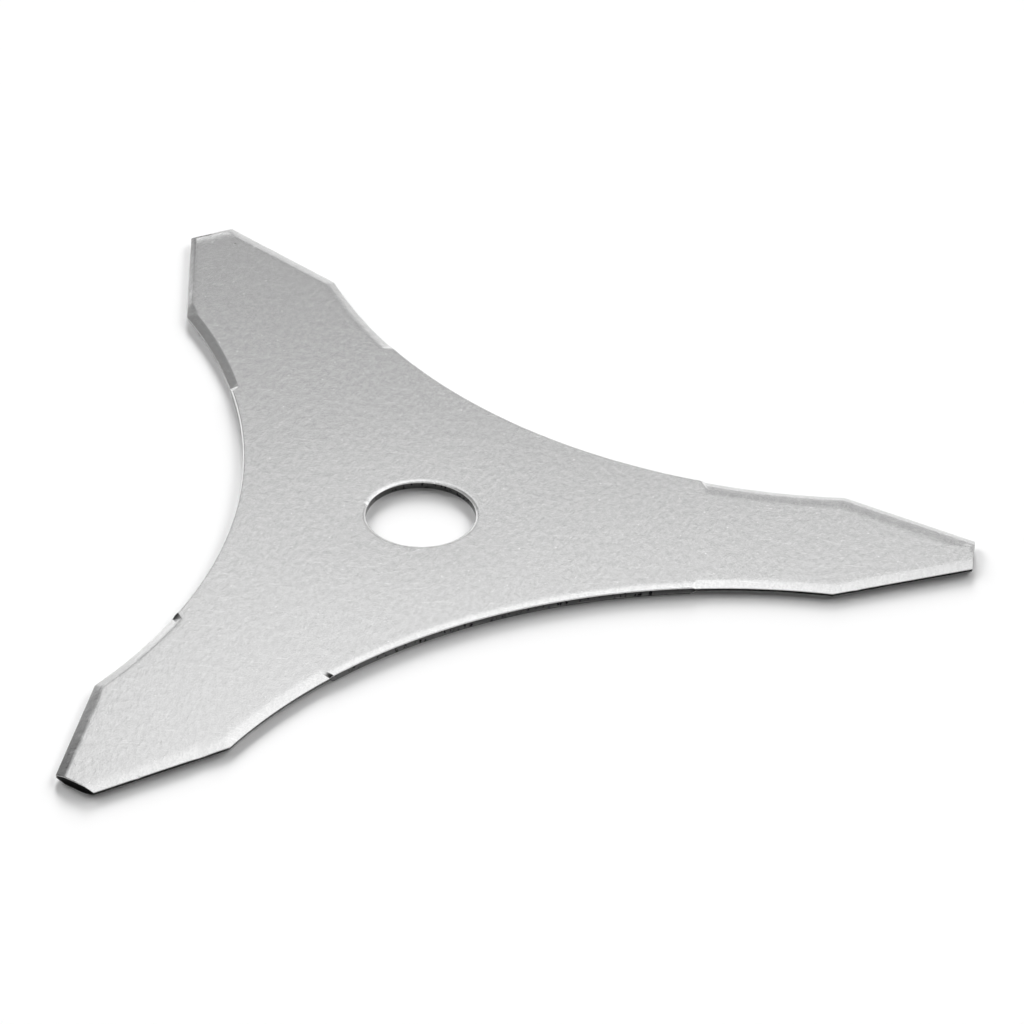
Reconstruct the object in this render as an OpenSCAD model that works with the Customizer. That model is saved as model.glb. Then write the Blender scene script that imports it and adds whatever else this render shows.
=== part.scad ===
// Brush cutter blade with blunt, three-cornered teeth: one flat sheet of steel, blanked and pressed.
// The bore's axis is Z and the underside lies on z = 0. The first tooth points along +X.
// Each flank is one arc, from a shoulder of one tooth to the near shoulder of the next.
// Left and right are meant as seen from above, looking from the bore out along a tooth.

/* [Plate] */
// Diameter of the circle that the tips sweep
tip_circle_d = 255; // [235:1:305]
// Thickness of the sheet
thickness = 2; // [1.7:0.1:4]
// Number of teeth
teeth = 3; // [3:1:4]

/* [Bore] */
// Diameter of the centre hole
bore_d = 25.4; // [20:0.1:30]

/* [Teeth] */
// Width of the blunt end of a tooth
tip_w = 10.7; // [6:0.1:20]
// Distance from the bore's axis to the shoulders, where a tooth starts to taper
shoulder_reach = 96.4; // [90:0.1:108]
// Width across a tooth's shoulders
shoulder_w = 38.1; // [34:0.1:44]
// Distance from the bore's axis to the middle of a flank
waist_r = 42.5; // [36:0.1:48]

/* [Pressed bevels] */
// Width of a bevel, seen from above
bevel_w = 2.2; // [1.2:0.1:4]
// Depth that a bevel takes off its own face of the sheet, at the edge
bevel_depth = 0.65; // [0.3:0.05:0.75]
// Distance from the bore's axis, along a tooth, to the notches that end its left bevels
notch_reach_left = 62.5; // [56:0.1:76]
// The same distance to the notches that end its right bevels
notch_reach_right = 63.8; // [56:0.1:76]
// Length of the ramp in a notch, from the face down to the bevel
notch_ramp = 1.4; // [0.6:0.1:2.5]
// Angle by which a notch leans towards the tip as it goes in from the edge
notch_lean = 40; // [0:1:50]

/* [Blanked edges] */
// Radius rolled by blanking on the upper edges of the bore, the plain flanks and the tips
rim_roll = 0.4; // [0.1:0.05:0.6]

/* [Hidden] */
$fn = 128;
// How far a cutter reaches past the faces that it cuts
over = 1;
step_deg = 360 / teeth;
half_step = step_deg / 2;
// The corners of a tip lie on the tip circle
tip_reach = sqrt(pow(tip_circle_d / 2, 2) - pow(tip_w / 2, 2));
// A flank's arc goes through its two shoulders and the waist point midway between them
shoulder_out = shoulder_reach * cos(half_step) + shoulder_w / 2 * sin(half_step);
shoulder_side = shoulder_reach * sin(half_step) - shoulder_w / 2 * cos(half_step);
shoulder_rise = shoulder_out - waist_r;
flank_r = (pow(shoulder_rise, 2) + pow(shoulder_side, 2)) / (2 * shoulder_rise);
flank_c = waist_r + flank_r;
// Angles at a flank's centre, from the waist point to the notches and to the shoulders
notch_left_deg = flank_deg(notch_reach_left);
notch_right_deg = flank_deg(notch_reach_right);
shoulder_deg = flank_deg(shoulder_reach);
// A tooth's straight edge, from its shoulder to its tip
taper_len = norm([tip_reach - shoulder_reach, (shoulder_w - tip_w) / 2]);
taper_deg = atan2((shoulder_w - tip_w) / 2, tip_reach - shoulder_reach);
// The bevels of a flank and of a straight edge run on past the shoulder until they meet
mitre_len = taper_len / 2;
mitre_deg = mitre_len / flank_r * 180 / PI;
bevel_fall = bevel_depth / bevel_w;
// A rolled rim runs on into the notches, to where the bevels lie deeper than it does
ramp_deg = notch_ramp / cos(notch_lean) / flank_r * 180 / PI;
// The roll is an arc about a point this far in from the wall and below the face: a little
// further than its own size, so that it breaks off the wall and the face at a slight angle
roll_in = 1.3 * rim_roll;
roll_arc_r = norm([roll_in, roll_in - rim_roll]);

// Angle at a flank's centre of the point of its arc that is this far out along a tooth
function flank_deg(reach) = acos((flank_c * cos(half_step) - reach) / flank_r) - half_step;

// Corners of one uncut tooth at a turn about the bore, from its right side to its left one.
// Its straight edges run back past the shoulders, which the flanks then cut.
function tooth_points(turn) = [
    let (back = [
        shoulder_reach - mitre_len * cos(taper_deg),
        shoulder_w / 2 + mitre_len * sin(taper_deg)
    ])
    for (p = [[back.x, -back.y], [tip_reach, -tip_w / 2], [tip_reach, tip_w / 2], back])
        [p.x * cos(turn) - p.y * sin(turn), p.x * sin(turn) + p.y * cos(turn)]
];

// Repeats its children once for each tooth
module each_tooth() {
    for (i = [0 : teeth - 1]) rotate([0, 0, i * step_deg]) children();
}

// Puts its children at the centre of each flank, their X axis towards the bore
module each_flank() {
    each_tooth() rotate([0, 0, half_step]) translate([flank_c, 0, 0]) rotate([0, 0, 180]) children();
}

// Repeats its children on the upper and the lower face of the sheet
module both_faces() {
    children();
    translate([0, 0, thickness]) mirror([0, 0, 1]) children();
}

// The flat blank before its edges are pressed
module blank() {
    difference() {
        linear_extrude(thickness) polygon([for (i = [0 : teeth - 1]) each tooth_points(i * step_deg)]);
        each_flank() translate([0, 0, -over]) cylinder(r = flank_r, h = thickness + 2 * over);
        translate([0, 0, -over]) cylinder(d = bore_d, h = thickness + 2 * over);
    }
}

// Section of what a bevel takes away: the edge at x = 0, the sheet on +X, its face at y = 0
module bevel_section() {
    polygon([
        [-over, -bevel_depth - over * bevel_fall],
        [bevel_w + over, over * bevel_fall],
        [-over, over * bevel_fall]
    ]);
}

// Section of what a rolled rim takes away, in the same place
module roll_section() {
    difference() {
        translate([-over, -roll_in]) square(over + roll_in);
        translate([roll_in, -roll_in]) circle(r = roll_arc_r);
    }
}

// Sweeps a section of an edge of the flank between two angles, at the height of the upper face
module along_flank(from_deg, to_deg) {
    translate([0, 0, thickness]) rotate([0, 0, from_deg])
        rotate_extrude(angle = to_deg - from_deg) translate([flank_r, 0]) children();
}

// What is beyond the ramp of a notch at this angle: the bevel is pressed only there
module beyond_notch(at_deg) {
    reach = 2 * mitre_len + flank_r;
    rotate([0, 0, at_deg]) translate([flank_r, 0, thickness])
        rotate([0, 0, 90 + notch_lean]) rotate([0, -atan2(notch_ramp, bevel_depth), 0])
            translate([0, -reach, -reach]) cube([reach, 2 * reach, 2 * reach]);
}

// Bevel of a flank, from a notch to beyond the shoulder, on the flank's left half
module flank_bevel(notch_at) {
    intersection() {
        along_flank(notch_at - mitre_deg, shoulder_deg + mitre_deg) bevel_section();
        beyond_notch(notch_at);
    }
}

// Bevel of a tooth's straight edge on its right side, from before the shoulder to past the tip
module taper_bevel() {
    translate([shoulder_reach, -shoulder_w / 2, thickness]) rotate([0, 0, taper_deg])
        translate([-mitre_len, 0, 0]) rotate([90, 0, 90])
            linear_extrude(mitre_len + taper_len + 2 * over) bevel_section();
}

// Everything that the press takes off one face of the sheet
module face_bevels() {
    each_flank() {
        flank_bevel(notch_left_deg);
        mirror([0, 1, 0]) flank_bevel(notch_right_deg);
    }
    each_tooth() {
        taper_bevel();
        mirror([0, 1, 0]) taper_bevel();
    }
}

// Everything that blanking rolls off the upper face's edges
module rolled_rims() {
    each_flank() along_flank(-notch_right_deg - ramp_deg, notch_left_deg + ramp_deg) roll_section();
    translate([0, 0, thickness]) rotate_extrude() translate([bore_d / 2, 0]) roll_section();
    each_tooth() translate([tip_reach, tip_w / 2 + over, thickness])
        rotate([90, 0, 0]) linear_extrude(tip_w + 2 * over) mirror([1, 0]) roll_section();
}

// The blank with the bevels of both faces pressed into it
module pressed() {
    difference() {
        blank();
        both_faces() face_bevels();
    }
}

// The whole blade
module blade() {
    color([0.78, 0.78, 0.79]) difference() {
        pressed();
        rolled_rims();
    }
}

blade();
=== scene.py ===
"""Brush cutter blade with three blunt teeth: its look in the studio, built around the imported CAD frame.

The blade is one sheet of zinc-plated steel. Its outline is the CAD's own, and the pressed bevels,
the notches that end them and the blanked edges get here the small unevenness of the real press work.
"""

from __future__ import annotations

import logging
import math
from dataclasses import dataclass, field
from enum import Enum

import bmesh
import bpy
from mathutils import Matrix, Vector, noise

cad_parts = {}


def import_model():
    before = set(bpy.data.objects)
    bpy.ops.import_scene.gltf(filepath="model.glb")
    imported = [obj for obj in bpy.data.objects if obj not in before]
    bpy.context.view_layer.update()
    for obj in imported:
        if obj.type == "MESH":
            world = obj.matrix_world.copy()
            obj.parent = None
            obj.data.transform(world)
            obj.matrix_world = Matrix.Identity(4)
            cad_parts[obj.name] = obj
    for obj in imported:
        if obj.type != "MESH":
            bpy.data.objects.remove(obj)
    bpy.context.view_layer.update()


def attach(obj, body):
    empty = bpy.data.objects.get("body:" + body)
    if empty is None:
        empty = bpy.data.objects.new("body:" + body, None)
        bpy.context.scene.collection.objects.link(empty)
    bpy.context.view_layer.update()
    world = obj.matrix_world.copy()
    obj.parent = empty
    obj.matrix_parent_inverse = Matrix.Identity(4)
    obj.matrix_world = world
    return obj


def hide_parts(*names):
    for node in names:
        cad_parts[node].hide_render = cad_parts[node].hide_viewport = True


LOG = logging.getLogger("blade_scene")
MM = 0.001
TEETH = 3
STEP = 2 * math.pi / TEETH


class Side(Enum):
    """Side of a tooth, seen from above looking from the bore out along it."""

    LEFT = 1
    RIGHT = -1


class Run(Enum):
    """Which part of the outline a station lies on."""

    FLANK = "flank"
    TAPER = "taper"
    TIP = "tip"


class Face(Enum):
    """Upper or lower face of the sheet."""

    UPPER = "upper"
    LOWER = "lower"


def clamp(value: float, low: float = 0.0, high: float = 1.0) -> float:
    """Value held between two limits."""
    return max(low, min(high, value))


def ease(value: float) -> float:
    """Smooth step from 0 to 1."""
    value = clamp(value)
    return value * value * (3 - 2 * value)


def soft_max(first: float, second: float, blend: float) -> float:
    """Larger of two depths, with the crease between them rounded over this much depth."""
    share = clamp(0.5 + 0.5 * (first - second) / blend)
    return second + (first - second) * share + blend * share * (1 - share)


@dataclass(frozen=True)
class Nick:
    """A small dent in the upper face.

    Attributes:
        run: Part of the outline that it is beside.
        along: Distance from the shoulder, in metres.
        inset: Distance in from the edge, in metres.
        radius: Radius, in metres.
        depth: Depth at its middle, in metres.
    """

    run: Run
    along: float
    inset: float
    radius: float
    depth: float


@dataclass(frozen=True)
class PressedEdge:
    """How one side of a tooth came out of the press, from its notch to its tip.

    Attributes:
        notch_deg: Angle at the flank's centre, from the waist to the notch.
        ramp: Length of the notch's ramp, from the face down to the bevel.
        lean_deg: Angle by which the notch leans towards the tip as it goes in.
        width_notch: Width of the bevel at its notch.
        width_shoulder: Width of the flank's bevel at the shoulder.
        width_taper: Width of the bevel along the straight edge.
        softness: Width over which the crease at the bevel's inner edge is rounded, on the flank and
            on the straight edge.
        power: Section of the bevel: 1 is straight, and above 1 it grows steeper towards the edge.
        droop_width: Width of the soft band where the face sinks towards the bevel.
        droop_depth: How far the face has sunk where that band meets the bevel.
        wave: Unevenness of the bevel's inner edge.
        rim_width: Width of the rolled rim of the plain flank beside the notch.
        wear: How rubbed the bevel is at its notch, its shoulder and its tip, from 0 to 1.
        ramp_painted_shade: Tone of the notch's ramp: 0 for plate, 1 for grey, partly painted shade, 2 for
            nearly black painted shade.
        walls: Tone of the wall below the plain flank, the pressed flank and the straight edge, on the same
            scale.
        nicks: Small dents beside this edge.
    """

    notch_deg: float = 18.9
    ramp: float = 1.4 * MM
    lean_deg: float = 40.0
    width_notch: float = 2.2 * MM
    width_shoulder: float = 2.2 * MM
    width_taper: float = 2.2 * MM
    softness: tuple[float, float] = (0.25 * MM, 0.25 * MM)
    power: float = 1.0
    droop_width: float = 1.0 * MM
    droop_depth: float = 0.0
    wave: float = 0.06 * MM
    rim_width: float = 0.45 * MM
    wear: tuple[float, float, float] = (0.0, 0.0, 0.0)
    ramp_painted_shade: float = 0.0
    walls: tuple[float, float, float] = (0.3, 0.3, 0.3)
    nicks: tuple[Nick, ...] = ()


@dataclass(frozen=True)
class Tip:
    """How the blunt end of a tooth was blanked.

    Attributes:
        roll_width: How far in from the end the upper face rolls down.
        roll_depth: How deep it has rolled at the end.
        wall: Tone of its wall: 0 for plate, 1 for grey, partly painted shade, 2 for nearly black painted
            shade.
    """

    roll_width: float = 0.3 * MM
    roll_depth: float = 0.12 * MM
    wall: float = 0.4


@dataclass(frozen=True)
class Station:
    """One place on the outline, in the frame of its own tooth, with the tooth's right side mirrored.

    Attributes:
        tooth: Number of the tooth, counted from the one along +X.
        side: Side of the tooth.
        run: Part of the outline.
        along: Flank: angle at its centre from the waist. Taper: distance from the tip. Tip: share of
            its half width.
    """

    tooth: int
    side: Side
    run: Run
    along: float


@dataclass
class Blade:
    """The blade itself: one blanked and pressed sheet of steel, in metres."""

    tip_circle: float = 255 * MM
    thickness: float = 2.0 * MM
    bore: float = 25.4 * MM
    tip_width: float = 10.7 * MM
    shoulder_reach: float = 96.4 * MM
    shoulder_width: float = 38.1 * MM
    waist: float = 42.5 * MM
    bevel_depth: float = 0.65 * MM
    rim_width: float = 0.9 * MM
    rim_depth: float = 0.4 * MM
    edge_break: float = 0.05 * MM
    edges: dict[tuple[int, Side], PressedEdge] = field(default_factory=dict)

    def __post_init__(self) -> None:
        """Works out the outline's other sizes and the unevenness of each pressed edge."""
        half = STEP / 2
        self.tip_reach = math.sqrt((self.tip_circle / 2) ** 2 - (self.tip_width / 2) ** 2)
        out = self.shoulder_reach * math.cos(half) + self.shoulder_width / 2 * math.sin(half)
        across = self.shoulder_reach * math.sin(half) - self.shoulder_width / 2 * math.cos(half)
        rise = out - self.waist
        self.flank_radius = (rise**2 + across**2) / (2 * rise)
        reach = self.waist + self.flank_radius
        self.flank_centre = Vector((reach * math.cos(half), reach * math.sin(half)))
        self.shoulder_angle = math.asin(across / self.flank_radius)
        narrowing = (self.shoulder_width - self.tip_width) / 2
        self.taper_angle = math.atan2(narrowing, self.tip_reach - self.shoulder_reach)
        self.taper_length = math.hypot(self.tip_reach - self.shoulder_reach, narrowing)
        self.tip_corner = Vector((self.tip_reach, self.tip_width / 2))
        self.outward = Vector((math.cos(self.taper_angle), -math.sin(self.taper_angle)))
        self.inward = Vector((-math.sin(self.taper_angle), -math.cos(self.taper_angle)))
        turn = self.taper_angle + self.shoulder_angle - (math.pi / 2 - half)
        self.mitre = math.tan(turn / 2)
        pit_angle = math.radians(170)
        self.bore_pit = Vector((math.cos(pit_angle), math.sin(pit_angle))) * (self.bore / 2 + 0.2 * MM)
        self.tips = (
            Tip(0.25 * MM, 0.1 * MM, 1.3),
            Tip(5.5 * MM, 0.48 * MM, 0.4),
            Tip(0.15 * MM, 0.06 * MM, 2.0),
        )
        self.edges = {
            (0, Side.LEFT): PressedEdge(
                ramp=1.0 * MM,
                width_notch=1.2 * MM,
                width_shoulder=1.2 * MM,
                width_taper=1.2 * MM,
                softness=(0.4 * MM, 0.4 * MM),
                droop_width=3.4 * MM,
                droop_depth=0.3 * MM,
                wear=(0.1, 0.1, 0.1),
            ),
            (0, Side.RIGHT): PressedEdge(
                notch_deg=19.5,
                ramp=1.0 * MM,
                width_notch=2.6 * MM,
                width_shoulder=2.6 * MM,
                width_taper=2.6 * MM,
                softness=(0.5 * MM, 0.5 * MM),
                power=1.5,
                rim_width=1.7 * MM,
                wear=(0.0, 0.12, 0.25),
                walls=(1.1, 1.8, 1.8),
                nicks=(
                    Nick(Run.FLANK, 29.6 * MM, 1.5 * MM, 0.5 * MM, 0.12 * MM),
                    Nick(Run.TAPER, 6.0 * MM, 0.3 * MM, 0.9 * MM, 0.12 * MM),
                ),
            ),
            (1, Side.LEFT): PressedEdge(
                width_notch=2.0 * MM,
                width_shoulder=2.6 * MM,
                width_taper=1.4 * MM,
                softness=(0.15 * MM, 0.5 * MM),
                wear=(0.3, 0.3, 0.75),
            ),
            (1, Side.RIGHT): PressedEdge(
                notch_deg=19.5,
                ramp=2.2 * MM,
                softness=(0.9 * MM, 0.9 * MM),
                wear=(0.12, 0.15, 0.25),
            ),
            (2, Side.LEFT): PressedEdge(
                notch_deg=18.5,
                ramp=0.9 * MM,
                lean_deg=20.0,
                width_notch=2.8 * MM,
                width_shoulder=2.8 * MM,
                width_taper=3.0 * MM,
                softness=(0.8 * MM, 0.8 * MM),
                power=1.4,
                wave=0.1 * MM,
                rim_width=1.7 * MM,
                wear=(0.05, 0.05, 0.05),
                ramp_painted_shade=2.0,
                walls=(0.9, 1.0, 2.0),
                nicks=(
                    Nick(Run.TAPER, 7.0 * MM, 0.2 * MM, 2.4 * MM, 0.14 * MM),
                    Nick(Run.TAPER, 23.0 * MM, 0.2 * MM, 0.7 * MM, 0.12 * MM),
                ),
            ),
            (2, Side.RIGHT): PressedEdge(
                notch_deg=19.5,
                ramp=1.8 * MM,
                width_taper=2.5 * MM,
                softness=(0.5 * MM, 0.2 * MM),
                wave=0.12 * MM,
                wear=(0.0, 0.45, 0.9),
                ramp_painted_shade=1.4,
            ),
        }

    def outline(self, mesh: bmesh.types.BMesh) -> list[bmesh.types.BMEdge]:
        """Draws the outline as a closed wire: half a tooth, mirrored, then turned about the bore.

        Args:
            mesh: Empty mesh that receives the wire.

        Returns:
            The wire's edges.
        """
        centre = (*self.flank_centre, 0.0)
        towards = self.flank_centre.normalized()
        start = self.flank_centre - towards * self.flank_radius
        last = bmesh.ops.create_vert(mesh, co=(*start, 0.0))["vert"][0]
        plain, pressed = math.radians(17.5), math.radians(22.6)
        spans = (
            (plain, 27),
            (pressed - plain, 44),
            (self.shoulder_angle - pressed, 52),
        )
        for angle, steps in spans:
            made = bmesh.ops.spin(
                mesh, geom=[last], cent=centre, axis=(0, 0, 1), angle=angle, steps=steps, dvec=(0, 0, 0)
            )
            last = next(g for g in made["geom_last"] if isinstance(g, bmesh.types.BMVert))
        for end, steps in ((self.tip_corner, 68), (Vector((self.tip_reach, 0.0)), 12)):
            offset = (Vector((*end, 0.0)) - last.co) / steps
            for _ in range(steps):
                made = bmesh.ops.extrude_vert_indiv(mesh, verts=[last])
                last = made["verts"][0]
                bmesh.ops.translate(mesh, vec=offset, verts=[last])
        half = mesh.verts[:] + mesh.edges[:]
        bmesh.ops.mirror(mesh, geom=half, matrix=Matrix.Identity(4), merge_dist=1e-7, axis="Y")
        bmesh.ops.remove_doubles(mesh, verts=mesh.verts[:], dist=1e-7)
        tooth = mesh.verts[:] + mesh.edges[:]
        bmesh.ops.spin(
            mesh,
            geom=tooth,
            cent=(0, 0, 0),
            axis=(0, 0, 1),
            angle=STEP * (TEETH - 1),
            steps=TEETH - 1,
            use_duplicate=True,
        )
        bmesh.ops.remove_doubles(mesh, verts=mesh.verts[:], dist=1e-6)
        return mesh.edges[:]

    def station(self, point: Vector) -> Station:
        """Finds which part of which tooth's outline a point of it lies on."""
        tooth = round(math.atan2(point.y, point.x) / STEP) % TEETH
        local = Vector((point.x, point.y))
        local.rotate(Matrix.Rotation(-tooth * STEP, 2))
        side = Side.LEFT if local.y >= 0 else Side.RIGHT
        local.y = abs(local.y)
        if local.x > self.tip_reach - 1e-6 and local.y < self.tip_corner.y - 1e-6:
            return Station(tooth, side, Run.TIP, local.y / self.tip_corner.y)
        if local.x > self.shoulder_reach + 1e-6:
            return Station(tooth, side, Run.TAPER, (self.tip_corner - local).length)
        return Station(tooth, side, Run.FLANK, self.flank_angle(local))

    def flank_angle(self, local: Vector) -> float:
        """Angle at the flank's centre from the waist to a point in a tooth's own frame."""
        waist = -self.flank_centre
        ray = local - self.flank_centre
        return math.atan2(waist.x * ray.y - waist.y * ray.x, waist.dot(ray))

    def flank_point(self, angle: float, inset: float) -> Vector:
        """Point in a tooth's own frame at this angle about the flank's centre and this far in."""
        ray = -self.flank_centre.normalized() * (self.flank_radius + inset)
        ray.rotate(Matrix.Rotation(angle, 2))
        return self.flank_centre + ray

    def bevel_width(self, station: Station) -> float:
        """Width of the bevel at a station, with its unevenness."""
        edge = self.edges[(station.tooth, station.side)]
        if station.run is Run.FLANK:
            share = (math.degrees(station.along) - edge.notch_deg) / 14.5
            width = edge.width_notch + (edge.width_shoulder - edge.width_notch) * clamp(share)
            place = station.along * self.flank_radius
        else:
            blend = ease((self.taper_length - station.along) / (6 * MM))
            width = edge.width_shoulder + (edge.width_taper - edge.width_shoulder) * blend
            if station.run is Run.TIP:
                width, place = edge.width_taper, -1.0
            else:
                place = self.shoulder_angle * self.flank_radius + self.taper_length - station.along
        seed = station.tooth * 7.3 + station.side.value * 3.1
        uneven = noise.noise(Vector((place / (2.5 * MM), seed, 0)))
        uneven += 0.5 * noise.noise(Vector((place / (0.9 * MM), seed, 5)))
        return width + edge.wave * uneven

    def place(self, station: Station, share: float, beyond: float, tip_inset: float) -> Vector:
        """Point on a loop inside the outline, in the tooth's own frame.

        Args:
            station: Where on the outline.
            share: How far across the bevel the loop runs, from 0 to 1.
            beyond: How far past the bevel the loop runs.
            tip_inset: How far in from the tip's own edge the loop runs.

        Returns:
            The point, with the tooth's right side still mirrored.
        """
        edge = self.edges[(station.tooth, station.side)]
        inset = share * self.bevel_width(station) + beyond
        tip_inset *= max(1.0, self.tips[station.tooth].roll_width / MM)
        if station.run is Run.FLANK:
            left = (self.shoulder_angle - station.along) * self.flank_radius
            shift = -inset * self.mitre * (1 - ease(left / (9 * MM)))
            past = station.along * self.flank_radius - math.radians(edge.notch_deg) * self.flank_radius
            near = 1 - ease((abs(past - 1.5 * MM) - 3.5 * MM) / (7 * MM))
            shift += min(inset, 2.6 * MM) * math.tan(math.radians(edge.lean_deg)) * near
            return self.flank_point(station.along + shift / (self.flank_radius + inset), inset)
        room = clamp((1.7 * MM + 0.35 * (station.along if station.run is Run.TAPER else 0)) / (3.6 * MM))
        inset = share * self.bevel_width(station) + beyond * room
        if station.run is Run.TAPER:
            from_shoulder = self.taper_length - station.along
            shift = inset * self.mitre * (1 - ease(from_shoulder / (9 * MM)))
            end = (inset * math.sin(self.taper_angle) - tip_inset) / math.cos(self.taper_angle)
            shift += end * (1 - ease(station.along / (9 * MM + 1.5 * tip_inset)))
            start = self.tip_corner - self.outward * station.along
            return start + self.inward * inset + self.outward * shift
        half = self.tip_corner.y + tip_inset * math.tan(self.taper_angle)
        half -= inset / math.cos(self.taper_angle)
        return Vector((self.tip_reach - tip_inset, station.along * half))

    def depth(self, station: Station, local: Vector, face: Face) -> float:
        """How far below its face the sheet's surface lies at a point in a tooth's own frame."""
        edge = self.edges[(station.tooth, station.side)]
        angle = self.flank_angle(local)
        from_flank = (local - self.flank_centre).length - self.flank_radius
        back = self.tip_corner - local
        from_taper = -back.dot(self.inward)
        along_taper = back.dot(self.outward)
        flank_station = Station(station.tooth, station.side, Run.FLANK, min(angle, self.shoulder_angle))
        taper_station = Station(
            station.tooth, station.side, Run.TAPER, clamp(along_taper, 0, self.taper_length)
        )
        flank = self.bevel(edge, self.bevel_width(flank_station), edge.softness[0], from_flank)
        taper = self.bevel(edge, self.bevel_width(taper_station), edge.softness[1], from_taper)
        pressed = min(flank, max(0.0, self.past_notch(edge, local)) * self.bevel_depth)
        if along_taper < self.taper_length + 12 * MM:
            pressed = max(pressed, taper)
        if face is Face.LOWER:
            return pressed
        rolled = 0.0
        if angle < math.radians(edge.notch_deg + 3):
            rolled = self.roll(from_flank, edge.rim_width, self.rim_depth)
        tip = self.tips[station.tooth]
        rolled = max(rolled, self.roll(self.tip_reach - local.x, tip.roll_width, tip.roll_depth))
        dents = 0.0
        for nick in edge.nicks:
            if nick.run is Run.FLANK:
                spot = self.flank_point(self.shoulder_angle - nick.along / self.flank_radius, nick.inset)
            else:
                spot = self.tip_corner - self.outward * (self.taper_length - nick.along)
                spot = spot + self.inward * nick.inset
            dents += nick.depth * math.exp(-(((local - spot).length / nick.radius) ** 2))
        return soft_max(pressed, rolled, 0.03 * MM) * (1 if pressed + rolled > 0 else 0) + dents

    def past_notch(self, edge: PressedEdge, local: Vector) -> float:
        """How far up or beyond its notch's ramp a point lies: 0 at the ramp's foot, 1 at its end."""
        past = (self.flank_angle(local) - math.radians(edge.notch_deg)) * self.flank_radius
        inset = (local - self.flank_centre).length - self.flank_radius
        lean = math.radians(edge.lean_deg)
        return (past * math.cos(lean) - inset * math.sin(lean)) / edge.ramp

    def bevel(self, edge: PressedEdge, width: float, softness: float, inset: float) -> float:
        """Depth of a pressed bevel at a distance in from the edge."""
        rest = 1 - inset / width
        blend = softness / width
        eased = soft_max(rest, 0.0, blend) if rest > -blend else 0.0
        pressed = (self.bevel_depth - edge.droop_depth) * max(eased, 0.0) ** edge.power
        band = clamp((width + edge.droop_width - inset) / edge.droop_width)
        return min(self.bevel_depth, pressed + edge.droop_depth * band**1.35)

    def tone(self, station: Station, local: Vector, share: float) -> float:
        """How rubbed the upper face is at a point, and how much painted shade lies on a notch's ramp.

        Args:
            station: Where on the outline.
            local: The point in the tooth's own frame.
            share: How far across the bevel it lies.

        Returns:
            The tone: 0 for bare plate, 1 for the grey of rubbed metal, partly painted shade, 2 for nearly
                black painted shade.
        """
        edge = self.edges[(station.tooth, station.side)]
        fade = 1 - ease((share - 0.8) / 0.2)
        notch, shoulder, tip = edge.wear
        if station.run is not Run.FLANK:
            left = station.along / self.taper_length if station.run is Run.TAPER else 0.0
            return (tip + (shoulder - tip) * left) * fade
        climbed = self.past_notch(edge, local)
        # On a notch's ramp the tone is painted shade, fading inwards from the edge.
        if climbed < 1:
            inset = (local - self.flank_centre).length - self.flank_radius
            return edge.ramp_painted_shade * (1 - ease(inset / (2.2 * MM))) if climbed > 0 else 0.0
        along = clamp((math.degrees(station.along) - edge.notch_deg) / 14)
        return (notch + (shoulder - notch) * along) * fade

    def wall_tone(self, station: Station, pressed: float) -> float:
        """Tone of the wall at a station: 0 for plate, 1 for grey, partly painted shade, 2 for nearly black
        painted shade.

        Args:
            station: Where on the outline.
            pressed: 1 where the edge is pressed, 0 where it is plain.

        Returns:
            The tone.
        """
        plain, flank, taper = self.edges[(station.tooth, station.side)].walls
        if station.run is Run.TIP:
            return self.tips[station.tooth].wall
        if station.run is Run.TAPER:
            return taper
        beyond = Side(-station.side.value)
        other = self.edges[((station.tooth + station.side.value) % TEETH, beyond)].walls[0]
        middle = (plain + other) / 2
        plain = middle + (plain - middle) * clamp(math.degrees(station.along) / 12)
        return plain + (flank - plain) * pressed

    @staticmethod
    def roll(inset: float, width: float, depth: float) -> float:
        """Depth of a rolled rim of this width and depth, at a distance in from the edge."""
        rest = clamp(1 - inset / width)
        arc = 0.3 if width < 3 * MM else 0.0
        return depth * ((1 - arc) * rest**1.8 + arc * (1 - math.sqrt(1 - rest * rest)))

    def set_in_plan(self, station: Station, local: Vector, height: float) -> Vector:
        """Point of the blade from one in a tooth's own, unmirrored frame."""
        flat = Vector((local.x, local.y * station.side.value))
        flat.rotate(Matrix.Rotation(station.tooth * STEP, 2))
        return Vector((*flat, height))

    def build(self) -> bpy.types.Object:
        """Makes the blade's mesh.

        Returns:
            The blade, at the CAD's own place.
        """
        mesh = bmesh.new()
        wire = self.outline(mesh)
        number = mesh.verts.layers.int.new("station")
        wall = mesh.verts.layers.float.new("sheared_and_painted_shade")
        stations = []
        mesh.verts.ensure_lookup_table()
        for index, vertex in enumerate(mesh.verts):
            vertex[number] = index
            stations.append(self.station(vertex.co))
        loops = (
            (0.02, 0.0, 0.01),
            (0.05, 0.0, 0.02),
            (0.10, 0.0, 0.04),
            (0.18, 0.0, 0.06),
            (0.30, 0.0, 0.08),
            (0.45, 0.0, 0.10),
            (0.62, 0.0, 0.11),
            (0.80, 0.0, 0.12),
            (0.91, 0.0, 0.13),
            (0.97, 0.0, 0.14),
            (1.0, 0.06, 0.16),
            (1.0, 0.2, 0.22),
            (1.0, 0.5, 0.32),
            (1.0, 1.0, 0.42),
            (1.0, 1.7, 0.55),
            (1.0, 2.6, 0.75),
            (1.0, 3.6, 1.0),
            (1.0, 4.3, 1.15),
        )
        for vertex in mesh.verts:
            station = stations[vertex[number]]
            local = self.place(station, 0, 0, 0)
            height = self.thickness - self.depth(station, local, Face.UPPER) - self.edge_break
            vertex.co = self.set_in_plan(station, local, height)
        upper = wire
        for share, beyond, tip_inset in loops:
            upper, made = self.grow(mesh, upper)
            for vertex in made:
                station = stations[vertex[number]]
                local = self.place(station, share, beyond * MM, tip_inset * MM)
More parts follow.
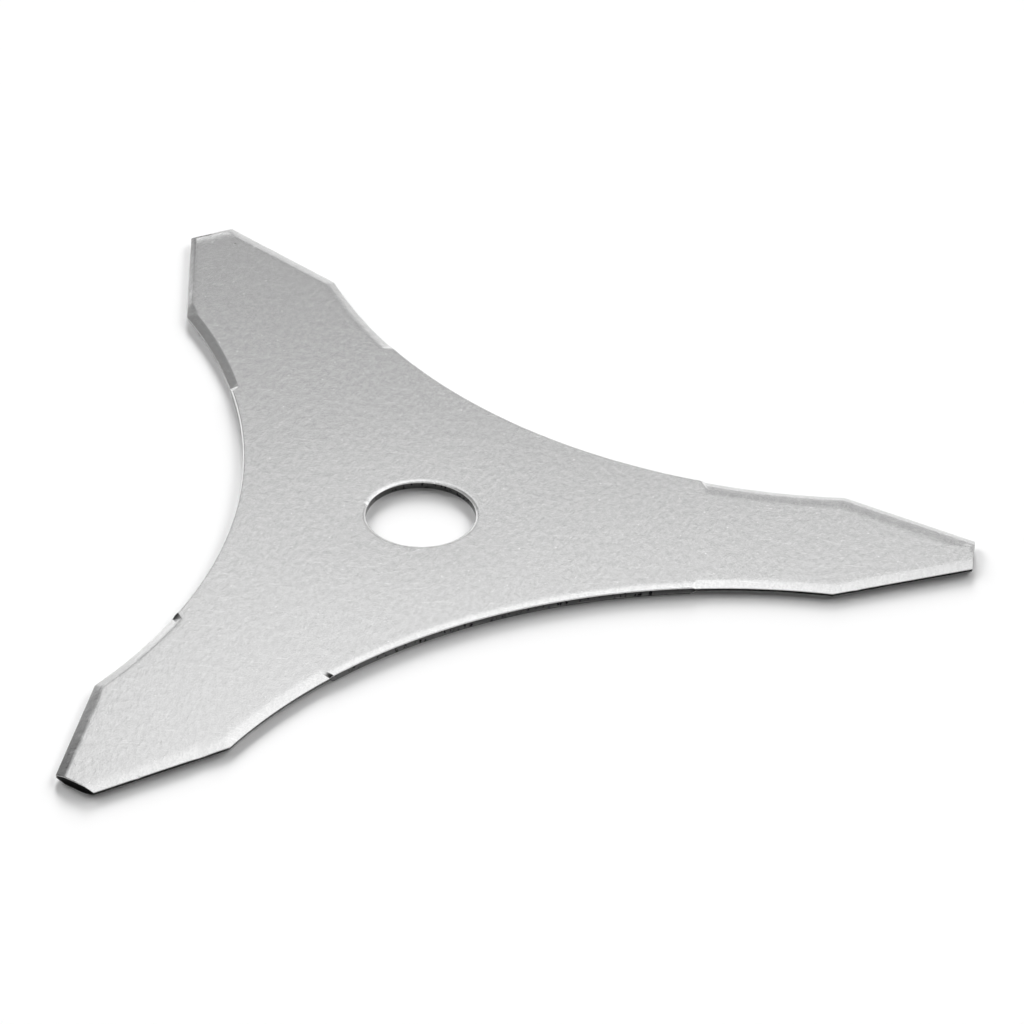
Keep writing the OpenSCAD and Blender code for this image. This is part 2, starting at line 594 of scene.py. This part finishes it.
                depth = self.depth(station, local, Face.UPPER) if beyond < 3.5 else 0.0
                vertex.co = self.set_in_plan(station, local, self.thickness - depth)
                vertex[wall] = self.tone(station, local, share) if share < 1 else 0.0
        lower = wire
        for share in (0.12, 0.4, 0.78, 0.87, 1.0):
            lower, made = self.grow(mesh, lower)
            for vertex in made:
                station = stations[vertex[number]]
                local = self.place(station, 0, 0, 0)
                pressed = clamp(self.depth(station, local, Face.LOWER) / self.bevel_depth)
                vertex[wall] = self.wall_tone(station, pressed)
                top = self.thickness - self.depth(station, local, Face.UPPER) - self.edge_break
                foot = self.depth(station, local, Face.LOWER) + self.edge_break
                torn = self.torn(station, local, share, pressed)
                inner = self.place(station, torn / self.bevel_width(station), 0, torn)
                vertex.co = self.set_in_plan(station, inner, top + (foot - top) * share)
        for share, beyond, tip_inset in loops:
            lower, made = self.grow(mesh, lower)
            for vertex in made:
                station = stations[vertex[number]]
                vertex[wall] = 0.0
                local = self.place(station, share, beyond * MM, tip_inset * MM)
                depth = self.depth(station, local, Face.LOWER) if beyond < 3.5 else 0.0
                vertex.co = self.set_in_plan(station, local, depth)
        rims = self.line_bore(mesh, wall)
        bmesh.ops.triangle_fill(mesh, edges=upper + rims[Face.UPPER], use_beauty=True, normal=(0, 0, 1))
        bmesh.ops.triangle_fill(mesh, edges=lower + rims[Face.LOWER], use_beauty=True, normal=(0, 0, -1))
        bmesh.ops.recalc_face_normals(mesh, faces=mesh.faces[:])
        return self.finish(mesh, "blade")

    def torn(self, station: Station, local: Vector, share: float, pressed: float) -> float:
        """How far in the blanked wall lies, where blanking tore it above a burnished foot.

        Args:
            station: Where on the outline.
            local: The same place in the tooth's own frame.
            share: Share of the wall's height, from its top.
            pressed: 1 where the edge is pressed, 0 where it is plain.

        Returns:
            The distance in from the outline.
        """
        spot = self.set_in_plan(station, local, share * 2 * MM)
        grain = 0.5 + noise.noise(Vector((spot.x, spot.y, spot.z * 0.3)) / (1.1 * MM))
        plain = {0.12: 0.0, 0.4: 0.05, 0.78: 0.09, 0.87: 0.02, 1.0: 0.0}[share]
        lip = {0.12: 0.0, 0.4: 0.06, 0.78: 0.12, 0.87: 0.14, 1.0: 0.2}[share]
        return (plain * (1 - pressed) * (0.7 + 0.6 * clamp(grain)) + lip * pressed) * MM

    @staticmethod
    def grow(
        mesh: bmesh.types.BMesh, loop: list[bmesh.types.BMEdge]
    ) -> tuple[list[bmesh.types.BMEdge], list[bmesh.types.BMVert]]:
        """Extrudes a loop of edges, and returns the new loop's edges and vertices."""
        made = bmesh.ops.extrude_edge_only(mesh, edges=loop)["geom"]
        fresh = {g for g in made if isinstance(g, bmesh.types.BMVert)}
        edges = [
            g for g in made if isinstance(g, bmesh.types.BMEdge) and all(v in fresh for v in g.verts)
        ]
        return edges, list(fresh)

    def line_bore(
        self, mesh: bmesh.types.BMesh, wall: bmesh.types.BMLayerItem
    ) -> dict[Face, list[bmesh.types.BMEdge]]:
        """Makes the bore's wall with its rolled upper rim.

        Args:
            mesh: The blade's mesh.
            wall: Layer that holds the tone of walls and bevels, with its painted shade.

        Returns:
            The loops of edges where the bore's rim meets the two faces.
        """
        radius = self.bore / 2
        circle = bmesh.ops.create_circle(
            mesh, segments=240, radius=radius + 1.2 * MM, matrix=Matrix.Translation((0, 0, self.thickness))
        )
        loop = list({edge for vertex in circle["verts"] for edge in vertex.link_edges})
        rims = {Face.UPPER: loop}
        insets = [step * MM for step in (0.8, 0.6, 0.48, 0.36, 0.24, 0.14, 0.06, 0.015)]
        steps = [
            (inset, self.thickness - self.roll(inset, self.rim_width, self.rim_depth)) for inset in insets
        ]
        steps += [(0.0, self.thickness - self.rim_depth - self.edge_break)]
        steps += [(0.0, 1.2 * MM), (0.0, 0.75 * MM), (0.0, 0.3 * MM), (0.0, 0.06 * MM)]
        steps += [(0.06 * MM, 0.0), (1.2 * MM, 0.0)]
        reach = radius + 1.2 * MM
        for inset, height in steps:
            loop, made = self.grow(mesh, loop)
            scale = (radius + inset) / reach
            bmesh.ops.scale(mesh, vec=(scale, scale, 1), verts=made)
            reach = radius + inset
            on_wall = inset == 0 and 0.1 * MM < height < 1.58 * MM
            for vertex in made:
                # The bore's wall is painted darker towards +Y, its far side seen from the front: painted
                # shade.
                far = clamp(vertex.co.y / radius)
                vertex[wall] = 0.75 + 0.5 * far if on_wall else 0.0
                pit = (vertex.co.xy - self.bore_pit).length / (0.4 * MM) if height > 1.5 * MM else 9.0
                vertex.co.z = height - 0.3 * MM * math.exp(-(pit**2))
        rims[Face.LOWER] = loop
        return rims

    @staticmethod
    def finish(mesh: bmesh.types.BMesh, name: str) -> bpy.types.Object:
        """Turns the mesh into a smooth-shaded object at the origin."""
        for face in mesh.faces:
            face.smooth = True
        data = bpy.data.meshes.new(name)
        mesh.to_mesh(data)
        mesh.free()
        blade = bpy.data.objects.new(name, data)
        bpy.context.scene.collection.objects.link(blade)
        return blade


def linear(code: str) -> tuple[float, float, float, float]:
    """Linear colour from an sRGB hex value such as D8D9DB."""
    channels = [int(code[i : i + 2], 16) / 255 for i in (0, 2, 4)]
    return (*(c / 12.92 if c <= 0.04045 else ((c + 0.055) / 1.055) ** 2.4 for c in channels), 1.0)


def add_node(
    tree: bpy.types.NodeTree,
    kind: str,
    settings: dict[str, object] | None = None,
    values: dict[str | int, object] | None = None,
    links: dict[str | int, bpy.types.NodeSocket] | None = None,
) -> bpy.types.Node:
    """Adds one node to a tree.

    Args:
        tree: Node tree of a material or of the world.
        kind: Node type.
        settings: Properties of the node.
        values: Values of its unlinked inputs.
        links: Sockets that feed its other inputs.

    Returns:
        The node.
    """
    node = tree.nodes.new(kind)
    for key, value in (settings or {}).items():
        setattr(node, key, value)
    for key, value in (values or {}).items():
        node.inputs[key].default_value = value
    for key, socket in (links or {}).items():
        tree.links.new(socket, node.inputs[key])
    return node


@dataclass(frozen=True)
class ZincPlatedSteel:
    """Zinc-plated steel sheet: a cool light grey metal with a satin gloss from the plating."""

    colour: str = "EBEBEB"
    # Grey of blanked and rubbed steel, darkened partly as painted shade for the rough wall's own shadows.
    sheared_and_painted_shade: str = "7A7A7A"
    # Nearly black: painted shade, the shadow under the blade that pressed walls, notch ramps and tooth ends
    # mirror.
    lip: str = "1C1C1C"
    roughness: float = 0.25
    tear: str = "101010"
    bright: str = "FFFFFF"
    shade: str = "E0E0E0"
    peel: float = 1.1 * MM
    peel_height: float = 0.06 * MM
    grain: float = 0.4 * MM
    grain_height: float = 0.008 * MM
    speck: float = 0.22 * MM
    speck_gap: float = 11 * MM
    scratch: float = 0.3 * MM
    scratch_length: float = 9 * MM

    def material(self) -> bpy.types.Material:
        """Makes the material."""
        made = bpy.data.materials.new("zinc_plated_steel")
        made.use_nodes = True
        tree = made.node_tree
        shader = tree.nodes["Principled BSDF"]
        shader.inputs["Metallic"].default_value = 1.0
        shader.inputs["Roughness"].default_value = self.roughness
        shader.inputs["Base Color"].default_value = linear(self.colour)
        place = add_node(tree, "ShaderNodeTexCoord")
        # The layer's tone: 0 for plate, 1 for the grey, partly painted shade, 2 for nearly black painted
        # shade.
        sheared_and_painted_shade = add_node(tree, "ShaderNodeAttribute", {"attribute_name": "sheared_and_painted_shade"})
        grey = add_node(
            tree,
            "ShaderNodeMapRange",
            {"data_type": "FLOAT"},
            {"From Min": 0.0, "From Max": 1.0},
            {"Value": sheared_and_painted_shade.outputs["Fac"]},
        )
        dark = add_node(
            tree,
            "ShaderNodeMapRange",
            {"data_type": "FLOAT"},
            {"From Min": 1.0, "From Max": 2.0},
            {"Value": sheared_and_painted_shade.outputs["Fac"]},
        )
        # torn blends the grey into the nearly black lip colour; that blend is painted shade, not torn
        # steel.
        torn = add_node(
            tree,
            "ShaderNodeMix",
            {"data_type": "RGBA"},
            {"A": linear(self.sheared_and_painted_shade), "B": linear(self.lip)},
            {"Factor": dark.outputs["Result"]},
        )
        colour = add_node(
            tree,
            "ShaderNodeMix",
            {"data_type": "RGBA"},
            {"A": linear(self.colour)},
            {"Factor": grey.outputs["Result"], "B": torn.outputs["Result"]},
        )
        rolled = add_node(
            tree,
            "ShaderNodeMapping",
            values={"Scale": (1.0, 0.45, 1.0)},
            links={"Vector": place.outputs["Object"]},
        )
        peel = add_node(
            tree,
            "ShaderNodeTexNoise",
            values={"Scale": 1 / self.peel, "Detail": 3.0, "Roughness": 0.6, "Distortion": 0.4},
            links={"Vector": rolled.outputs["Vector"]},
        )
        grain = add_node(
            tree,
            "ShaderNodeTexNoise",
            values={"Scale": 1 / self.grain, "Detail": 1.0},
            links={"Vector": place.outputs["Object"]},
        )
        peel_bump = add_node(
            tree,
            "ShaderNodeBump",
            values={"Distance": self.peel_height},
            links={"Height": peel.outputs["Fac"]},
        )
        grain_bump = add_node(
            tree,
            "ShaderNodeBump",
            values={"Distance": self.grain_height},
            links={"Height": grain.outputs["Fac"], "Normal": peel_bump.outputs["Normal"]},
        )
        spots = add_node(
            tree,
            "ShaderNodeTexVoronoi",
            {"voronoi_dimensions": "2D"},
            {"Scale": 1 / self.speck_gap},
            {"Vector": place.outputs["Object"]},
        )
        speck = add_node(
            tree,
            "ShaderNodeMapRange",
            {"interpolation_type": "SMOOTHSTEP"},
            {"From Min": self.speck / self.speck_gap, "From Max": 0.3 * self.speck / self.speck_gap},
            {"Value": spots.outputs["Distance"]},
        )
        speck_bump = add_node(
            tree,
            "ShaderNodeBump",
            values={"Distance": 0.02 * MM},
            links={"Height": speck.outputs["Result"], "Normal": grain_bump.outputs["Normal"]},
        )
        tree.links.new(speck_bump.outputs["Normal"], shader.inputs["Normal"])
        mottle = add_node(
            tree,
            "ShaderNodeMix",
            {"data_type": "FLOAT"},
            {"Factor": 0.5},
            {"A": peel.outputs["Fac"], "B": grain.outputs["Fac"]},
        )
        dull = add_node(
            tree,
            "ShaderNodeMapRange",
            None,
            {"From Min": 0.62, "From Max": 0.38},
            {"Value": mottle.outputs["Result"]},
        )
        mottled = add_node(
            tree,
            "ShaderNodeMix",
            {"data_type": "RGBA"},
            {"A": linear(self.colour), "B": linear(self.shade)},
            {"Factor": dull.outputs["Result"]},
        )
        flecked = add_node(
            tree,
            "ShaderNodeMix",
            {"data_type": "RGBA"},
            {"B": linear(self.bright)},
            {"A": mottled.outputs["Result"], "Factor": speck.outputs["Result"]},
        )
        slanted = add_node(
            tree,
            "ShaderNodeMapping",
            values={
                "Rotation": (0.0, 0.0, math.radians(35)),
                "Scale": (1 / self.scratch_length, 1 / self.scratch, 1.0),
            },
            links={"Vector": place.outputs["Object"]},
        )
        hairs = add_node(
            tree,
            "ShaderNodeTexNoise",
            values={"Scale": 1.0, "Detail": 0.0, "Distortion": 0.2},
            links={"Vector": slanted.outputs["Vector"]},
        )
        scuffs = add_node(
            tree,
            "ShaderNodeMapRange",
            {"interpolation_type": "SMOOTHSTEP"},
            {"From Min": 0.71, "From Max": 0.78, "To Max": 0.35},
            {"Value": hairs.outputs["Fac"]},
        )
        scuffed = add_node(
            tree,
            "ShaderNodeMix",
            {"data_type": "RGBA"},
            {"B": linear(self.bright)},
            {"A": flecked.outputs["Result"], "Factor": scuffs.outputs["Result"]},
        )
        tree.links.new(scuffed.outputs["Result"], colour.inputs["A"])
        dragged = add_node(
            tree,
            "ShaderNodeMapping",
            values={"Scale": (1.0, 1.0, 0.6)},
            links={"Vector": place.outputs["Object"]},
        )
        streaks = add_node(
            tree,
            "ShaderNodeTexNoise",
            values={"Scale": 1 / (0.8 * MM), "Detail": 2.0, "Roughness": 0.7},
            links={"Vector": dragged.outputs["Vector"]},
        )
        torn_spots = add_node(
            tree,
            "ShaderNodeMapRange",
            {"interpolation_type": "SMOOTHSTEP"},
            {"From Min": 0.56, "From Max": 0.64},
            {"Value": streaks.outputs["Fac"]},
        )
        on_wall = add_node(
            tree,
            "ShaderNodeMapRange",
            None,
            {"From Min": 0.7, "From Max": 0.9},
            {"Value": sheared_and_painted_shade.outputs["Fac"], "To Max": torn_spots.outputs["Result"]},
        )
        ticked = add_node(
            tree,
            "ShaderNodeMix",
            {"data_type": "RGBA"},
            {"B": linear(self.tear)},
            {"A": colour.outputs["Result"], "Factor": on_wall.outputs["Result"]},
        )
        tree.links.new(ticked.outputs["Result"], shader.inputs["Base Color"])
        return made


@dataclass
class Studio:
    """Pale floor, soft lights and the camera at the photograph's view."""

    azimuth: float = math.radians(5.6187)
    elevation: float = math.radians(35.4241)
    roll: float = math.radians(0.8522)
    distance: float = 1.8659154
    lens: float = 284.53
    target: tuple[float, float, float] = (0.020496, 0.005881, 0.0)
    board: str = "F7F7F7"
    dusk: float = 0.09

    def camera(self) -> None:
        """Places the camera."""
        a, e, r = self.azimuth, self.elevation, self.roll
        back = Vector((math.sin(a) * math.cos(e), -math.cos(a) * math.cos(e), math.sin(e)))
        right = Vector((math.cos(a), math.sin(a), 0))
        up = back.cross(right)
        across = right * math.cos(r) + up * math.sin(r)
        upright = up * math.cos(r) - right * math.sin(r)
        turn = Matrix((across, upright, back)).transposed()
        data = bpy.data.cameras.new("camera")
        data.lens = self.lens
        data.sensor_width = 36.0
        camera = bpy.data.objects.new("camera", data)
        camera.matrix_world = Matrix.Translation(Vector(self.target) + back * self.distance) @ turn.to_4x4()
        bpy.context.scene.collection.objects.link(camera)
        bpy.context.scene.camera = camera
        data.clip_start = 0.1
        data.clip_end = 50.0

    def floor(self) -> None:
        """Lays the pale floor."""
        mesh = bmesh.new()
        bmesh.ops.create_grid(mesh, x_segments=1, y_segments=1, size=6.0)
        bmesh.ops.translate(mesh, vec=(0, 0, -0.00002), verts=mesh.verts[:])
        data = bpy.data.meshes.new("floor")
        mesh.to_mesh(data)
        mesh.free()
        floor = bpy.data.objects.new("floor", data)
        bpy.context.scene.collection.objects.link(floor)
        made = bpy.data.materials.new("matt_white_board")
        made.use_nodes = True
        tree = made.node_tree
        tree.nodes.clear()
        diffuse = add_node(tree, "ShaderNodeBsdfDiffuse", values={"Color": linear(self.board)})
        add_node(tree, "ShaderNodeOutputMaterial", links={"Surface": diffuse.outputs[0]})
        data.materials.append(made)

    def lights(self) -> None:
        """Sets the soft lights and the world."""
        self.softbox("softbox_back", (0.37, 0.315, 0.45), (0.37, 0.315, 0.0), (1.16, 0.63), 1.63)
        self.softbox("softbox_top", (0.34, 0.2, 0.46), (0.34, 0.2, 0.0), (0.8, 0.4), 0.32)
        self.sun("window_middle", azimuth=0.0, elevation=14.0, spread=15.0, share=0.38)
        self.sun("window_left", azimuth=-40.0, elevation=22.0, spread=26.0, share=0.20)
        self.sun("window_right", azimuth=40.0, elevation=22.0, spread=26.0, share=0.18)
        self.sun("window_far_left", azimuth=-71.0, elevation=34.0, spread=30.0, share=0.07)
        self.sun("window_far_right", azimuth=71.0, elevation=34.0, spread=30.0, share=0.10)
        world = bpy.data.worlds.new("studio")
        bpy.context.scene.world = world
        world.use_nodes = True
        tree = world.node_tree
        tree.nodes.clear()
        place = add_node(tree, "ShaderNodeTexCoord")
        axes = add_node(tree, "ShaderNodeSeparateXYZ", links={0: place.outputs["Generated"]})
        ramp = {"interpolation_type": "SMOOTHSTEP"}
        high = add_node(
            tree,
            "ShaderNodeMapRange",
            ramp,
            {"From Min": 0.85, "From Max": 0.6, "To Min": 0.15, "To Max": 0.37},
            {"Value": axes.outputs["Z"]},
        )
        low = add_node(
            tree,
            "ShaderNodeMapRange",
            ramp,
            {"From Min": -0.05, "From Max": -0.3, "To Min": 1.03, "To Max": 1.38},
            {"Value": axes.outputs["X"]},
        )
        sweep = add_node(
            tree,
            "ShaderNodeMapRange",
            ramp,
            {"From Min": 0.41, "From Max": 0.3},
            {
                "Value": axes.outputs["Z"],
                "To Min": high.outputs["Result"],
                "To Max": low.outputs["Result"],
            },
        )
        seen = self.seen(tree)
        back = add_node(
            tree,
            "ShaderNodeMapRange",
            ramp,
            {"From Min": -0.3, "From Max": 0.4},
            {"Value": axes.outputs["Y"]},
        )
        room = add_node(
            tree,
            "ShaderNodeMix",
            {"data_type": "FLOAT"},
            {"A": 0.55},
            {"Factor": back.outputs["Result"], "B": sweep.outputs["Result"]},
        )
        horizon = add_node(
            tree,
            "ShaderNodeMapRange",
            ramp,
            {"From Min": 0.2, "From Max": 0.12},
            {"Value": axes.outputs["Z"]},
        )
        backdrop = add_node(
            tree,
            "ShaderNodeMix",
            {"data_type": "FLOAT"},
            {"B": 1.0},
            {"Factor": horizon.outputs["Result"], "A": room.outputs["Result"]},
        )
        level = add_node(
            tree,
            "ShaderNodeMix",
            {"data_type": "FLOAT"},
            {"A": self.dusk},
            {"Factor": seen, "B": backdrop.outputs["Result"]},
        )
        glow = add_node(
            tree,
            "ShaderNodeBackground",
            values={"Color": (1, 1, 1, 1)},
            links={"Strength": level.outputs["Result"]},
        )
        add_node(tree, "ShaderNodeOutputWorld", links={"Surface": glow.outputs[0]})

    @staticmethod
    def seen(tree: bpy.types.NodeTree) -> bpy.types.NodeSocket:
        """Socket that is 1 for camera, glossy and transmission rays."""
        path = add_node(tree, "ShaderNodeLightPath")
        first = add_node(
            tree,
            "ShaderNodeMath",
            {"operation": "MAXIMUM"},
            links={0: path.outputs["Is Camera Ray"], 1: path.outputs["Is Glossy Ray"]},
        )
        both = add_node(
            tree,
            "ShaderNodeMath",
            {"operation": "MAXIMUM"},
            links={0: first.outputs[0], 1: path.outputs["Is Transmission Ray"]},
        )
        return both.outputs[0]

    def sun(self, name: str, azimuth: float, elevation: float, spread: float, share: float) -> None:
        """Lights the floor evenly from one broad direction; the metal doesn't mirror this light.

        Args:
            name: Name of the light.
            azimuth: Degrees to the right of the direction straight away from the camera.
            elevation: Degrees above the floor.
            spread: Breadth of the light, in degrees.
            share: Its share of the open floor's brightness.
        """
        data = bpy.data.lights.new(name, "SUN")
        white = linear(self.board)[0]
        data.energy = share * math.pi / white / math.sin(math.radians(elevation))
        data.angle = math.radians(spread)
        turn = self.azimuth - math.radians(azimuth)
        rise = math.radians(elevation)
        towards = Vector(
            (-math.sin(turn) * math.cos(rise), math.cos(turn) * math.cos(rise), math.sin(rise))
        )
        lamp = bpy.data.objects.new(name, data)
        lamp.rotation_euler = (-towards).to_track_quat("-Z", "Y").to_euler()
        lamp.visible_glossy = False
        bpy.context.scene.collection.objects.link(lamp)

    @staticmethod
    def softbox(
        name: str,
        place: tuple[float, float, float],
        aim: tuple[float, float, float],
        size: tuple[float, float],
        power: float,
    ) -> None:
        """Hangs one softbox.

        Args:
            name: Name of the light.
            place: Where its middle hangs.
            aim: The point that it faces.
            size: Its width and height.
            power: Its power in watts.
        """
        data = bpy.data.lights.new(name, "AREA")
        data.shape = "RECTANGLE"
        data.size, data.size_y = size
        data.energy = power
        lamp = bpy.data.objects.new(name, data)
        lamp.location = place
        lamp.rotation_euler = (Vector(aim) - Vector(place)).to_track_quat("-Z", "Y").to_euler()
        lamp.visible_camera = False
        lamp.visible_diffuse = False
        bpy.context.scene.collection.objects.link(lamp)


def main() -> None:
    """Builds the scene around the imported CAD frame."""
    logging.basicConfig(level=logging.INFO, format="%(name)s: %(message)s")
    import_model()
    bpy.context.scene.view_settings.view_transform = "Standard"
    studio = Studio()
    studio.camera()
    studio.floor()
    studio.lights()
    blade = Blade().build()
    blade.data.materials.append(ZincPlatedSteel().material())
    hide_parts("blade")
    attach(blade, "root")
    LOG.info("blade: %d faces", len(blade.data.polygons))


if __name__ == "__main__":
    main()
